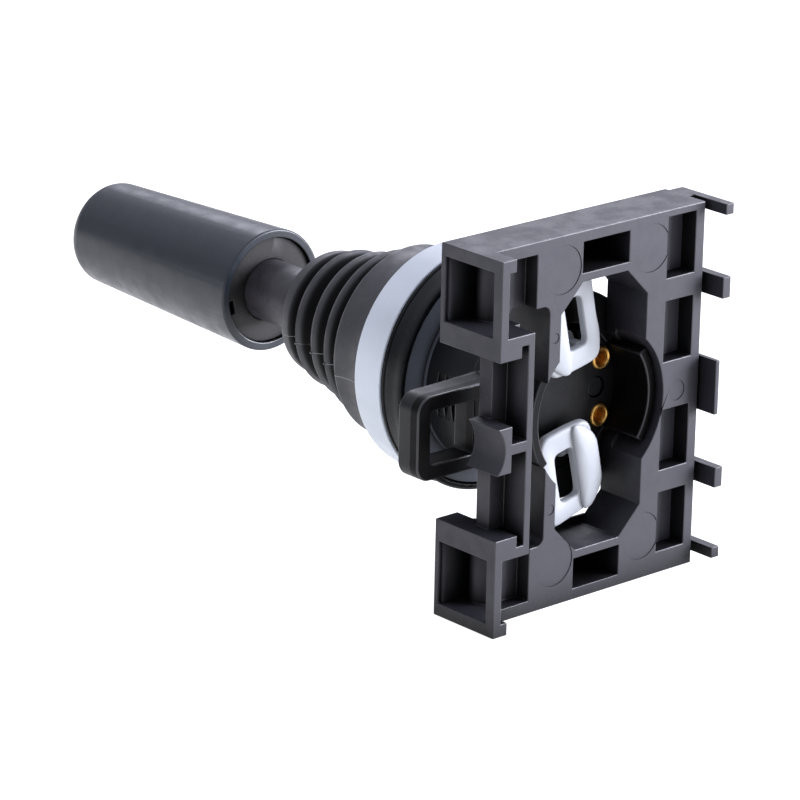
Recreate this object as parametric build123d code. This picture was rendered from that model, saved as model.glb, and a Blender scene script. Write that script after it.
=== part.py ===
from build123d import *
import math
import os

# Four-way joystick for a 22.5 mm panel hole, with a clip-on adapter for four contact blocks.
# Everything is modelled in the device's own frame: X to the side that carries the locking loop,
# Y up along the panel, Z along the lever towards the hand, with zero at the panel's front face.
# The finished pieces are then turned so that up is +Z and the grip points along -Y.

os.makedirs("parts", exist_ok=True)

# Running and assembly clearances
running_gap = 0.08
sliding_gap = 0.15
seat_gap = 0.20
tappet_gap = 0.25
side_tappet_gap = 0.5
press_gap = 0.02
moulding_gap = 0.12
overshoot = 1.0
overlap = 0.1

# Motion
lock_limit = 13.0

# Panel collar and housing
collar_radius = 11.15
housing_bore = 9.3
flange_radius = 14.1
flange_back = 0.3
flange_front = 3.6
neck_radius = 12.0
neck_front = 8.6
collar_back = -9.4
floor_top = -9.1
floor_back = -11.1
spigot_radius = 8.2
key_width = 3.0
key_height = 0.75
key_length = 3.0
ratchet_pitch = 1.3
ratchet_rows = 5
ratchet_depth = 0.45
ratchet_span = 5.6
key_root = 0.5

# Base plate and its hollow rivets
base_plate_radius = 8.85
base_plate_thick = 1.0
rivet_x = 6.35
rivet_y = 3.65
rivet_outer = 0.9
rivet_wall = 0.25
rivet_head_radius = 1.5
rivet_head_thick = 0.35
rivet_roll = 0.21
rivet_inner_head = 1.2

# Gasket and bezel ring
gasket_outer = 15.0
gasket_back = 0.0
gasket_lip = 0.5
gasket_chamfer = 0.45
bezel_back_radius = 15.1
bezel_front_radius = 14.35
bezel_back = 3.75
bezel_front = 9.35
bezel_bore = 13.05
bezel_floor = 1.7
bezel_round = 0.7

# Gimbal at the panel plane
gimbal_outer = 8.8
gimbal_inner = 5.7
gimbal_height = 3.2
trunnion_radius = 1.0
trunnion_depth = 1.4

# Lever and grip
shaft_radius = 4.0
hub_radius = 4.3
hub_chamfer = 0.9
hub_height = 4.4
foot_radius = 2.6
arm_reach = 7.4
arm_width = 3.0
arm_thick = 1.2
arm_top = -3.7
grip_back = 41.9
grip_front = 76.4
grip_back_radius = 8.05
grip_front_radius = 6.8
grip_wall = 1.1
grip_round = 2.6
grip_back_round = 0.3
plug_inset = 0.5
plug_thick = 3.0
plug_slot_half = 0.9
plug_slot_depth = 1.6
plug_slot_turn = -70
core_radius = 5.2
core_rib_half = 0.6
core_ribs = 4
shaft_top = 71.0
pin_length = 8.6
boot_groove_z = 29.2
boot_groove_width = 1.2
boot_groove_depth = 0.5

# Bellows
boot_top = 31.3
boot_wall = 0.9
boot_top_radius = 8.1
boot_cap_thick = 3.2
rib_heights = [15.1, 19.0, 22.8, 26.3]
rib_radii = [12.3, 10.8, 9.6, 8.95]
rib_valley = 1.35
rib_back = 1.1
rib_front = 0.6
rib_slope = 1.0
boot_lip = 0.4
boot_cap_round = 1.0

# Contact adapter
plate_back = -19.0
plate_front = -12.15
plate_right = -16.25
plate_left = 11.1
adapter_half_height = 23.0
box_left = 19.9
box_back = -22.5
box_reach = 12.15
box_inner_y = adapter_half_height - box_reach
box_inner_wall = 2.75
box_outer_wall = 1.6
corner_width = 2.25
post_width = 1.25
post_depth = 1.4
sill_depth = 0.6
shelf_back = -17.0
shelf_front = -13.5
shelf_reach = 14.8
rail_right = 14.45
rail_thick = 1.0
ledge_left = 17.8
ledge_thick = 2.2
strut_thick = 1.35
wall_thick = 1.35
web_thick = 3.6
opening_half_width = 7.0
opening_margin = 6.3
opening_half_height = adapter_half_height - opening_margin
opening_chamfer = 3.4
hub_bore = 10.3
slot_left = 13.6
slot_right = 8.9
slot_margin = 8.2
slot_half_height = adapter_half_height - slot_margin
slot_round = 1.0
window_half_width = 3.75
window_margin = 5.2
window_inner_y = adapter_half_height - window_margin
window_height = 3.8
pocket_right = -14.75
pocket_width = 4.6
pocket_height = 7.6
pocket_depth = 2.6
pockets_from_top = [4.7, 15.2]
pockets_from_foot = [17.1, 6.6]
pocket_centres = [adapter_half_height - margin for margin in pockets_from_top]
pocket_centres += [margin - adapter_half_height for margin in pockets_from_foot]
finger_stand = 1.0
finger_width = 1.3
finger_back = -21.5
finger_foot = -16.0
fingers_from_top = [0.7, 10.5]
fingers_from_foot = [11.4, 1.65]
finger_centres = [adapter_half_height - margin for margin in fingers_from_top]
finger_centres += [margin - adapter_half_height for margin in fingers_from_foot]
finger_heights = [1.4, 2.7, 2.6, 1.4]
latch_centre = 0.05
latch_height = 6.9
latch_stand = 0.4
latch_thick = 0.65
block_half_height = 2.85
block_front = -17.2
block_scoop = 1.2
ejector_depth = 0.08
large_ejector = 3.0
ejector_left = 7.0
ejector_right = -7.45
ejector_top_margin = 4.2
ejector_foot_margin = 5.5
large_ejectors = [(x, adapter_half_height - ejector_top_margin) for x in (ejector_left, ejector_right)]
large_ejectors += [(x, ejector_foot_margin - adapter_half_height) for x in (ejector_left, ejector_right)]
small_ejector = 0.65
small_ejector_x = 7.9
small_ejector_y = 10.65
side_ejector = 1.3
side_ejector_x = -12.6

# Tappets
main_tappet_y = 6.6
main_tappet_x = -1.0
main_stem_radius = 1.4
side_tappet_x = 5.8
side_stem_radius = 1.2
head_radius = 1.9
head_thick = 0.8
dome_height = 0.45
spring_wire = 0.4
main_spring_turns = 5.5
side_spring_turns = 3.0
stirrup_front = -14.0
stirrup_thick = 2.0
stirrup_near = 3.0
bar_clearance = 1.4
bar_step = 0.7
bar_far = opening_half_height - bar_clearance
stirrup_far = bar_far - bar_step
bar_left = 1.1
bar_right = -3.1
stirrup_left = 5.6
stirrup_round = 1.2
bar_toe = 0.9
bar_crown = 0.8
crest_round = 1.2
nose_back = -19.6
kink_run = 2.2
nose_run = 3.3
kink_y = bar_far - kink_run
nose_y = kink_y - nose_run
kink_back = -17.3
window_near = 5.6
window_rim = 2.3
window_far = stirrup_far - window_rim
window_left = 4.5
window_round = 0.8

# Locking lever
lock_ring_outer = 13.2
lock_ring_back = -12.0
lock_ring_thick = 2.4
lip_back = -17.8
lip_half_angle = 36.0
lip_neck_radius = 9.75
land_radius = 9.85
land_back = -13.9
tooth_half_angle = 5.0
notch_half_angle = 6.0
tooth_radius = 8.35
tooth_root = 0.5
loop_back = -13.8
loop_thick = 3.4
loop_window_outer = 22.4
loop_window_inner = 15.7
loop_window_half = 3.3
loop_wall = 2.1
loop_side_wall = 1.9
loop_end = loop_window_outer + loop_wall
loop_half_height = loop_window_half + loop_side_wall
loop_round = 2.0
loop_root = 1.0
loop_step = 0.8
loop_window_round = 0.5


def block(x0, x1, y0, y1, z0, z1):
    """A box given by its six faces."""
    centre = ((x0 + x1) / 2, (y0 + y1) / 2, (z0 + z1) / 2)
    return Pos(*centre) * Box(abs(x1 - x0), abs(y1 - y0), abs(z1 - z0))


def rod(radius, z0, z1, x=0.0, y=0.0):
    """A cylinder along Z between two heights."""
    return Pos(x, y, (z0 + z1) / 2) * Cylinder(radius, abs(z1 - z0))


def tube(outer, inner, z0, z1, x=0.0, y=0.0):
    """A plain tube along Z."""
    return rod(outer, z0, z1, x, y) - rod(inner, z0 - overshoot, z1 + overshoot, x, y)


def cross_rod(radius, x0, x1, z=0.0, y=0.0):
    """A cylinder along X."""
    return Pos((x0 + x1) / 2, y, z) * Rot(0, 90, 0) * Cylinder(radius, abs(x1 - x0))


def upright_rod(radius, y0, y1, x=0.0, z=0.0):
    """A cylinder along Y."""
    return Pos(x, (y0 + y1) / 2, z) * Rot(90, 0, 0) * Cylinder(radius, abs(y1 - y0))


def revolved(points):
    """A body of revolution about the lever's axis from (radius, z) corners."""
    face = make_face(Polyline(*[(r, 0, z) for r, z in points], close=True))
    return revolve(face, Axis.Z)


def sector(outer, half_angle, z0, z1, middle=0.0):
    """A wedge of a disc, opened about a middle angle in the XY plane."""
    reach = outer / math.cos(math.radians(half_angle)) * 1.05
    corners = [(0, 0)]
    corners += [(reach * math.cos(math.radians(middle + s * half_angle)),
                 reach * math.sin(math.radians(middle + s * half_angle))) for s in (-1, 1)]
    wedge = Pos(0, 0, z0) * extrude(make_face(Polyline(*corners, close=True)), z1 - z0)
    return wedge & rod(outer, z0, z1)


def coil(radius, wire, z0, z1, turns, x=0.0, y=0.0):
    """A compression spring whose ends lie between two heights."""
    low = z0 + wire / 2
    height = z1 - z0 - wire
    path = Helix(pitch=height / turns, height=height, radius=radius)
    section = Plane(origin=path @ 0, z_dir=path % 0) * Circle(wire / 2)
    return Pos(x, y, low) * sweep(section, path, is_frenet=True)


def write(shape, name):
    """Turn a piece from the device's frame to the part's frame and save it."""
    export_step(Rot(90, 0, 0) * shape, f"parts/{name}.step")


def bezel_ring():
    """The light ring that shows on the front of the panel and holds the bellows' foot."""
    outer = revolved([(0, bezel_back), (bezel_back_radius, bezel_back),
                      (bezel_front_radius, bezel_front), (0, bezel_front)])
    rim = outer.edges().filter_by(GeomType.CIRCLE).sort_by(Axis.Z)[-1]
    outer = fillet(rim, bezel_round)
    outer -= rod(neck_radius + seat_gap, bezel_back - overshoot, bezel_front + overshoot)
    return outer - rod(bezel_bore, bezel_back + bezel_floor, bezel_front + overshoot)


def panel_gasket():
    """The rubber channel ring that seals on the panel round the collar's flange."""
    inner = flange_radius + running_gap
    back = gasket_back
    front = bezel_back - press_gap
    profile = [(inner, front), (inner, back), (inner + gasket_chamfer, back),
               (gasket_outer, back + gasket_lip * 2), (gasket_outer, front)]
    return revolved(profile)


def rivet_places():
    """The four rivets' centres."""
    return [(sx * rivet_x, sy * rivet_y) for sx in (1, -1) for sy in (1, -1)]


def tappet_places():
    """Each tappet's name with its centre and stem radius."""
    return {
        "upper": (main_tappet_x, main_tappet_y, main_stem_radius),
        "lower": (main_tappet_x, -main_tappet_y, main_stem_radius),
        "left": (side_tappet_x, 0.0, side_stem_radius),
        "right": (-side_tappet_x, 0.0, side_stem_radius),
    }


def housing():
    """Flange, panel collar, spigot and the cup that carries the gimbal."""
    body = revolved([(0, floor_back), (spigot_radius, floor_back), (spigot_radius, collar_back),
                     (collar_radius, collar_back), (collar_radius, flange_back),
                     (flange_radius, flange_back), (flange_radius, flange_front),
                     (neck_radius, flange_front), (neck_radius, neck_front),
                     (housing_bore, neck_front), (housing_bore, floor_top), (0, floor_top)])
    key_top = collar_radius + key_height
    body += block(-key_width / 2, key_width / 2, housing_bore + key_root, key_top,
                  flange_back - key_length, flange_back)
    first_row = collar_back + ratchet_pitch
    for side in (1, -1):
        for row in range(ratchet_rows):
            low = first_row + row * ratchet_pitch
            groove = block(side * (collar_radius - ratchet_depth), side * (collar_radius + overshoot),
                           -ratchet_span / 2, ratchet_span / 2, low, low + ratchet_pitch / 2)
            body -= groove
    for x, y, radius in tappet_places().values():
        body -= rod(radius + running_gap, floor_back - overshoot, floor_top + overshoot, x, y)
    for x, y in rivet_places():
        body -= rod(rivet_outer + press_gap, floor_back - overshoot, floor_top + overshoot, x, y)
    for side in (1, -1):
        body -= cross_rod(trunnion_radius + running_gap / 2, side * (housing_bore - overshoot),
                          side * (housing_bore + trunnion_depth))
    return body


def base_plate():
    """The riveted disc that closes the cup and holds the adapter's bayonet teeth."""
    back = floor_back - base_plate_thick
    plate = rod(base_plate_radius, back, floor_back)
    for x, y, radius in tappet_places().values():
        plate -= rod(radius + sliding_gap, back - overshoot, floor_back + overshoot, x, y)
    for x, y in rivet_places():
        plate -= rod(rivet_outer + press_gap, back - overshoot, floor_back + overshoot, x, y)
    for middle in (90, 270):
        way = sector(base_plate_radius + overshoot, notch_half_angle, back - overshoot,
                     floor_back + overshoot, middle + lock_limit)
        plate -= way - rod(spigot_radius, back - 2 * overshoot, floor_back + 2 * overshoot)
    return plate


def hollow_rivets():
    """Four brass rivets, rolled over at the back and flanged inside the cup."""
    back = floor_back - base_plate_thick
    rivets = []
    for x, y in rivet_places():
        stem = rod(rivet_outer, back, floor_top, x, y)
        head = rod(rivet_head_radius, back - rivet_head_thick, back, x, y)
        rim = head.edges().filter_by(GeomType.CIRCLE).sort_by(Axis.Z)[0]
        head = fillet(rim, rivet_roll)
        inner_head = rod(rivet_inner_head, floor_top, floor_top + rivet_head_thick, x, y)
        body = stem + head + inner_head
        body -= rod(rivet_outer - rivet_wall, back - overshoot, floor_top + overshoot, x, y)
        rivets.append(body)
    return Compound(rivets)


def gimbal_ring():
    """The ring that swings up and down with the lever and presses the main tappets."""
    half = gimbal_height / 2
    ring = tube(gimbal_outer, gimbal_inner, -half, half)
    for side in (1, -1):
        start = side * (gimbal_inner - overshoot)
        end = side * (gimbal_outer + overshoot)
        ring -= cross_rod(trunnion_radius, start, end)
        ring -= upright_rod(trunnion_radius, start, end)
    return ring


def trunnion_pins():
    """Two short steel pins that carry the ring in the housing."""
    pins = []
    for side in (1, -1):
        outer = housing_bore + trunnion_depth - sliding_gap
        pins.append(cross_rod(trunnion_radius, side * gimbal_inner, side * outer))
    return Compound(pins)


def lever_pin():
    """The pin through ring and hub that the lever swings on from side to side."""
    half = gimbal_outer - running_gap
    return upright_rod(trunnion_radius, -half, half)


def lever_shaft():
    """The turned shaft with its hub, foot and the cross arm for the side tappets."""
    half_hub = hub_height / 2
    shaft = rod(shaft_radius, 0, shaft_top)
    hub = rod(hub_radius, -half_hub, half_hub)
    shaft += chamfer(hub.edges().filter_by(GeomType.CIRCLE).sort_by(Axis.Z)[0], hub_chamfer)
    shaft += rod(foot_radius, arm_top - arm_thick, -half_hub)
    shaft += block(-arm_reach, arm_reach, -arm_width / 2, arm_width / 2,
                   arm_top - arm_thick, arm_top)
    shaft -= upright_rod(trunnion_radius + running_gap / 2, -hub_radius - overshoot,
                         hub_radius + overshoot)
    shaft -= tube(shaft_radius + overshoot, shaft_radius - boot_groove_depth, boot_groove_z,
                  boot_groove_z + boot_groove_width)
    return shaft - grip_pin_hole()


def grip_radius_at(z):
    """The tapered sleeve's outer radius at a height."""
    share = (z - grip_back) / (grip_front - grip_back)
    return grip_back_radius + share * (grip_front_radius - grip_back_radius)


def grip_sleeve():
    """The tapered moulded grip: a deep cup with a rounded closed end."""
    body = revolved([(0, grip_back), (grip_back_radius, grip_back),
                     (grip_front_radius, grip_front), (0, grip_front)])
    rims = body.edges().filter_by(GeomType.CIRCLE).sort_by(Axis.Z)
    body = fillet(rims[-1], grip_round)
    body = fillet(body.edges().filter_by(GeomType.CIRCLE).sort_by(Axis.Z)[0], grip_back_round)
    cup_end = grip_front - grip_wall * 2
    cup = revolved([(0, grip_back - overshoot), (grip_back_radius - grip_wall, grip_back - overshoot),
                    (grip_back_radius - grip_wall, grip_back),
                    (grip_radius_at(cup_end) - grip_wall, cup_end), (0, cup_end)])
    return body - cup


def grip_plug():
    """The disc that closes the sleeve round the shaft."""
    low = grip_back + plug_inset
    high = low + plug_thick
    inside = grip_back_radius - grip_wall - moulding_gap
    high_inside = grip_radius_at(high) - grip_wall - moulding_gap
    bore = shaft_radius + press_gap
    plug = revolved([(bore, low), (inside, low), (high_inside, high), (bore, high)])
    slot = block(inside - plug_slot_half, inside + overshoot, -plug_slot_half, plug_slot_half,
                 low - overshoot, low + plug_slot_depth)
    return plug - Rot(0, 0, plug_slot_turn) * slot


def grip_core():
    """The moulded core that fills the sleeve and drives it from the shaft."""
    low = grip_back + plug_inset + plug_thick
    high = grip_front - grip_wall * 2 - seat_gap
    body = tube(core_radius, shaft_radius + press_gap, low, high)
    fin = grip_radius_at(high) - grip_wall - moulding_gap
    root = (shaft_radius + core_radius) / 2
    for rib in range(core_ribs):
        fin_block = block(root, fin, -core_rib_half, core_rib_half, low, high)
        body += Rot(0, 0, 360 / core_ribs * (rib + 0.5)) * fin_block
    cap = rod(core_radius, shaft_top + press_gap, high)
    return body + cap - grip_pin_hole()


def grip_pin():
    """The cross pin that locks core and shaft."""
    middle = (grip_back + grip_front) / 2
    return cross_rod(trunnion_radius, -pin_length / 2, pin_length / 2, middle)


def grip_pin_hole():
    """The hole that core and shaft share for the cross pin."""
    middle = (grip_back + grip_front) / 2
    return cross_rod(trunnion_radius + press_gap, -grip_back_radius, core_radius, middle)


def bellows():
    """The ribbed rubber boot from the bezel to the groove in the shaft."""
    foot = bezel_bore - sliding_gap
    foot_back = bezel_back + bezel_floor + seat_gap
    outer = [(foot, foot_back), (foot, bezel_front + boot_lip)]
    for z, radius in zip(rib_heights, rib_radii):
        outer += [(radius, z - rib_back), (radius, z + rib_front)]
        outer += [(radius - rib_valley, z + rib_front + rib_slope)]
    outer += [(boot_top_radius, boot_top - boot_cap_thick + boot_lip)]
    outer += [(boot_top_radius, boot_top - boot_cap_round),
              (boot_top_radius - boot_cap_round, boot_top)]
    collar = shaft_radius + press_gap
    bead = collar - boot_groove_depth
    low = boot_groove_z + press_gap
    high = boot_groove_z + boot_groove_width - press_gap
    inner = [(collar, boot_top), (collar, high), (bead, high), (bead, low), (collar, low)]
    inner += [(collar, boot_top - boot_cap_thick)]
    inner += [(boot_top_radius - boot_wall - boot_lip, boot_top - boot_cap_thick)]
    for z, radius in reversed(list(zip(rib_heights, rib_radii))):
        inner += [(radius - boot_wall - rib_valley, z + rib_front + rib_slope / 2)]
        inner += [(radius - boot_wall, z - rib_front / 2)]
    neck = neck_radius + press_gap
    inner += [(neck_radius - boot_wall, neck_front + seat_gap), (neck, neck_front + seat_gap)]
    inner += [(neck, foot_back)]
    return revolved(outer + inner)


def stirrup(side):
    """The light open frame with a crowned bar that works the contact block, on one side."""
    plate_back_z = stirrup_front - stirrup_thick
    frame = block(bar_left - bar_toe, stirrup_left, stirrup_near, stirrup_far,
                  plate_back_z, stirrup_front)
    corners = frame.edges().filter_by(Axis.Z).sort_by(Axis.X)[-2:]
    frame = fillet(corners, stirrup_round)
    window = block(bar_left, window_left, window_near, window_far,
                   plate_back_z - overshoot, stirrup_front + overshoot)
    frame -= fillet(window.edges().filter_by(Axis.Z), window_round)
    outline = Polyline((stirrup_near, stirrup_front), (stirrup_near, stirrup_front - bar_toe),
                       (nose_y, nose_back), (kink_y, kink_back),
                       (bar_far, stirrup_front - bar_toe), (bar_far, stirrup_front),
                       close=True)
    profile = make_face(outline)
    toe_line = stirrup_front - bar_toe - overlap
    crests = profile.vertices().filter_by(lambda v: v.Y < toe_line)
    profile = fillet(crests, crest_round)
    side_plane = Plane(origin=(bar_right, 0, 0), x_dir=(0, 1, 0), z_dir=(1, 0, 0))
    bar = extrude(side_plane * profile, bar_left - bar_right)
    rims = bar.edges().filter_by(lambda e: e.center().Z < toe_line and abs((e % 0.5).X) < 0.5)
    bar = fillet(rims, bar_crown)
    body = frame + bar
    return body if side > 0 else mirror(body, Plane.XZ)


def main_tappet(side):
    """A tappet with its domed head, its stem and its stirrup."""
    y = side * main_tappet_y
    collar = main_head_base()
    body = rod(main_stem_radius, stirrup_front - overlap, collar, main_tappet_x, y)
    body += rod(head_radius, collar - head_thick, collar, main_tappet_x, y)
    body += dome(main_tappet_x, y, collar)
    return body + stirrup(side)


def dome(x, y, base):
    """The rounded top of a tappet's head."""
    ball = (head_radius ** 2 + dome_height ** 2) / (2 * dome_height)
    cap = Pos(x, y, base + dome_height - ball) * Sphere(ball)
    return cap & rod(head_radius, base - overlap, base + dome_height + overshoot, x, y)


def main_head_base():
    """The height of a main tappet's head under its dome."""
    return -gimbal_height / 2 - tappet_gap - dome_height


def side_head_base():
    """The height of a side tappet's head under its dome."""
    return arm_top - arm_thick - side_tappet_gap - dome_height


def side_tappet(side):
    """A plain tappet under one end of the lever's cross arm."""
    x = side * side_tappet_x
    collar = side_head_base()
    back = floor_back - base_plate_thick + seat_gap
    body = rod(side_stem_radius, back, collar, x, 0)
    body += rod(head_radius, collar - head_thick, collar, x, 0)
    return body + dome(x, 0, collar)


def tappet_spring(name):
    """The coil between the cup's floor and a tappet's head."""
    x, y, radius = tappet_places()[name]
    if name in ("upper", "lower"):
        top = main_head_base() - head_thick
        turns = main_spring_turns
    else:
        top = side_head_base() - head_thick
        turns = side_spring_turns
    mean = radius + spring_wire / 2 + moulding_gap
    low = floor_top + press_gap
    return coil(mean, spring_wire, low, top - press_gap, turns, x, y)


def locking_lever():
    """The turning ring with bayonet teeth, bearing lips and the finger loop."""
    front = lock_ring_back + lock_ring_thick
    bore = base_plate_radius + sliding_gap
    ring = tube(lock_ring_outer, bore, lock_ring_back, front)
    tooth_back = floor_back + sliding_gap
    tooth = sector(bore + tooth_root, tooth_half_angle, tooth_back, front, 90)
    tooth -= rod(tooth_radius, tooth_back - overshoot, front + overshoot)
    for turn in (0, 180):
        ring += Rot(0, 0, turn) * tooth
    outer = hub_bore - running_gap
    for middle in (0, 180):
        lip = sector(outer, lip_half_angle, lip_back, land_back - sliding_gap, middle)
        lip += sector(lip_neck_radius, lip_half_angle, land_back - sliding_gap - overlap,
                      lock_ring_back + overlap, middle)
        ring += lip - rod(bore, lip_back - overshoot, lock_ring_back + overshoot)
    arm = block(bore + loop_root, loop_end, -loop_half_height, loop_half_height,
                loop_back, loop_back + loop_thick)
    arm = fillet(arm.edges().filter_by(Axis.Z).sort_by(Axis.X)[-2:], loop_round)
    window = block(loop_window_inner, loop_window_outer, -loop_window_half, loop_window_half,
                   loop_back - overshoot, loop_back + loop_thick + overshoot)
    window = fillet(window.edges().filter_by(Axis.Z), loop_window_round)
    clear = rod(lock_ring_outer - loop_step, loop_back - overshoot, lock_ring_back)
    return ring + (arm - window - clear - rod(bore, loop_back - overshoot, front + overshoot))


def opening_shape():
    """The eight-sided opening with the round, undercut seat of the locking ring's lips."""
    w = opening_half_width
    h = opening_half_height
    c = opening_chamfer
    corners = [(w - c, h), (w, h - c), (w, c - h), (w - c, -h),
               (c - w, -h), (-w, c - h), (-w, h - c), (c - w, h)]
    low = plate_back - overshoot
    depth = plate_front - plate_back + 2 * overshoot
    eight = Pos(0, 0, low) * extrude(make_face(Polyline(*corners, close=True)), depth)
    return eight + rod(hub_bore, low, land_back) + rod(land_radius, low, low + depth)


def latch_box():
    """The upper open box on the loop's side that takes a block's latch."""
    inner = box_inner_y
    outer = adapter_half_height
    low = inner + box_inner_wall
    high = outer - box_outer_wall
    corner_right = box_left - corner_width
    box = block(plate_left - wall_thick, box_left, low - wall_thick, outer,
                plate_back, plate_front)
    box += block(ledge_left - wall_thick, box_left, inner, low, box_back, plate_front)
    box += block(rail_right, corner_right + overlap, low - strut_thick, low, box_back, plate_front)
    box += block(corner_right, box_left, high, outer, box_back, plate_front)
    box += block(box_left - post_width, box_left, low - overlap, high + overlap,
                 box_back, box_back + post_depth)
    box -= block(plate_left, box_left - post_width, low, high, box_back - overshoot,
                 plate_front + overshoot)
    box -= block(plate_left, box_left + overshoot, low, high, box_back + post_depth,
                 plate_front - sill_depth)
    foot = low - overlap
    head = high + overlap
    shelf = block(plate_left - overlap, shelf_reach, foot, head, shelf_back, shelf_front)
    middle = (shelf_back + shelf_front) / 2
    nose = upright_rod((shelf_front - shelf_back) / 2, foot, head, shelf_reach, middle)
    return box + shelf + nose


def ejector_marks():
    """The round marks that the mould's ejector pins leave on the rear face."""
    marks = [rod(large_ejector, plate_back - overshoot, plate_back + ejector_depth, x, y)
             for x, y in large_ejectors]
    marks += [rod(small_ejector, plate_back - overshoot, plate_back + ejector_depth, x, y)
              for x, y in ((small_ejector_x, small_ejector_y), (small_ejector_x, -small_ejector_y))]
    marks.append(rod(side_ejector, plate_back - overshoot, plate_back + ejector_depth,
                     side_ejector_x, 0))
    return marks


def front_cells():
    """The hollows that lighten the plate from its front side."""
    half = adapter_half_height
    back = plate_back + web_thick
    wall_x = -hub_bore - wall_thick
    ribs = [half - wall_thick]
    ribs += [(a + b) / 2 for a, b in zip(pocket_centres, pocket_centres[1:])]
    ribs += [wall_thick - half]
    cells = []
    for upper, lower in zip(ribs, ribs[1:]):
        cells.append(block(plate_right + wall_thick, wall_x, lower + wall_thick / 2,
                           upper - wall_thick / 2, back, plate_front + overshoot))
    for side in (1, -1):
        cells.append(block(window_half_width + wall_thick, plate_left - wall_thick,
                           side * (opening_half_height + wall_thick),
                           side * (half - wall_thick), back, plate_front + overshoot))
    return cells


def contact_adapter():
    """The moulded frame behind the panel: plate, rail, boxes, pockets and snap fingers."""
    half = adapter_half_height
    frame = block(plate_right, plate_left, -half, half, plate_back, plate_front)
    for cell in front_cells():
        frame -= cell
    upper = latch_box()
    frame += upper
    frame += mirror(upper, Plane.XZ)
    reach = box_inner_y + overlap
    frame += block(plate_left - overlap, ledge_left, -reach, reach, plate_back,
                   plate_back + ledge_thick)
    frame -= block(slot_right, box_left + overshoot, -box_inner_y, box_inner_y,
                   plate_back + ledge_thick, plate_front + overshoot)
    frame -= opening_shape()
    slot = block(slot_right, slot_left, -slot_half_height, slot_half_height,
                 plate_back - overshoot, plate_front + overshoot)
    frame -= fillet(slot.edges().filter_by(Axis.Z), slot_round)
    for side in (1, -1):
        frame -= block(-window_half_width, window_half_width, side * window_inner_y,
                       side * (window_inner_y + window_height), plate_back - overshoot,
                       plate_front + overshoot)
    for y in pocket_centres:
        frame -= block(pocket_right, pocket_right + pocket_width, y - pocket_height / 2,
                       y + pocket_height / 2, plate_back - overshoot, plate_back + pocket_depth)
    for mark in ejector_marks():
        frame -= mark
    rail_reach = box_inner_y + box_inner_wall
    frame += block(rail_right, rail_right + rail_thick, -rail_reach, rail_reach,
                   box_back, plate_back + ledge_thick)
    return frame + snap_fingers() + finger_block()


def snap_fingers():
    """The four fingers and the thin latch on the side away from the loop."""
    inner = plate_right - finger_stand
    outer = inner - finger_width
    fingers = None
    for y, height in zip(finger_centres, finger_heights):
        low = y - height / 2
        high = y + height / 2
        finger = block(outer, inner, low, high, finger_back, plate_front - sill_depth)
        finger += block(outer, plate_right + overlap, low, high, finger_foot,
                        plate_front - sill_depth)
        fingers = finger if fingers is None else fingers + finger
    low = latch_centre - latch_height / 2
    high = latch_centre + latch_height / 2
    stand = plate_right - latch_stand
    latch = block(stand - latch_thick, stand, low, high, finger_back, plate_front - sill_depth)
    latch += block(stand - latch_thick, plate_right + overlap, low, high, finger_foot,
                   plate_front - sill_depth)
    return fingers + latch


def finger_block():
    """The scooped block between the boxes and the strut that ties it to the rail."""
    half = block_half_height
    right = box_left - corner_width
    body = block(right, box_left, -half, half, box_back, block_front)
    scoop = (half ** 2 + block_scoop ** 2) / (2 * block_scoop)
    body -= rod(scoop, box_back - overshoot, block_front + overshoot,
                box_left + scoop - block_scoop, 0)
    body += block(rail_right + overlap, right + overlap, -strut_thick / 2, strut_thick / 2,
                  box_back, plate_back + overlap)
    return body


def build():
    write(contact_adapter(), "contact_adapter")
    write(locking_lever(), "locking_lever")
    write(housing(), "housing")
    write(base_plate(), "base_plate")
    write(hollow_rivets(), "hollow_rivets")
    write(bezel_ring(), "bezel_ring")
    write(panel_gasket(), "panel_gasket")
    write(gimbal_ring(), "gimbal_ring")
    write(trunnion_pins(), "trunnion_pins")
    write(lever_pin(), "lever_pin")
    write(lever_shaft(), "lever_shaft")
    write(grip_sleeve(), "grip_sleeve")
    write(grip_plug(), "grip_plug")
    write(grip_core(), "grip_core")
    write(grip_pin(), "grip_pin")
    write(bellows(), "bellows")
    write(main_tappet(1), "upper_tappet")
    write(main_tappet(-1), "lower_tappet")
    write(side_tappet(1), "left_tappet")
    write(side_tappet(-1), "right_tappet")
    for name in tappet_places():
        write(tappet_spring(name), f"{name}_spring")


build()
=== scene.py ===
import math

import bmesh
import bpy
from mathutils import Matrix, Vector


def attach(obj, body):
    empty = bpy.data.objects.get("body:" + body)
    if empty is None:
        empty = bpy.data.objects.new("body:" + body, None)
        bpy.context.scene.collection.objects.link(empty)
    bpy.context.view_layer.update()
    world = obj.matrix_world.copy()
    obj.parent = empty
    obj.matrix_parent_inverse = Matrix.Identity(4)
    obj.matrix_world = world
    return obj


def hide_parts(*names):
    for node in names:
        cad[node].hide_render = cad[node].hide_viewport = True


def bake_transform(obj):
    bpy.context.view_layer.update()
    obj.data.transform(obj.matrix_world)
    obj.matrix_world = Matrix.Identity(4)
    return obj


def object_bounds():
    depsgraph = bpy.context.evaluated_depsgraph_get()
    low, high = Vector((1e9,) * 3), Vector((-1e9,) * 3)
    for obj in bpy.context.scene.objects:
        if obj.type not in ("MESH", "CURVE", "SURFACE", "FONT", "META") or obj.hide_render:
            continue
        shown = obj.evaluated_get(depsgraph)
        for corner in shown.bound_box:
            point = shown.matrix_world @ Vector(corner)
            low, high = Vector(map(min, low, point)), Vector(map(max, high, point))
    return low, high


# Looks for the panel joystick. Sizes are in metres, and a height is the distance along the lever
# from the panel's front face towards the hand, which is the frame's -Y. The corners of outlines
# and of blocks are in millimetres.
MM = 0.001
WELD = 0.002 * MM
FINE_WELD = WELD / 4
TURN = 2 * math.pi
QUARTER = math.pi / 2
PARALLEL = 1e-12
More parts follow.
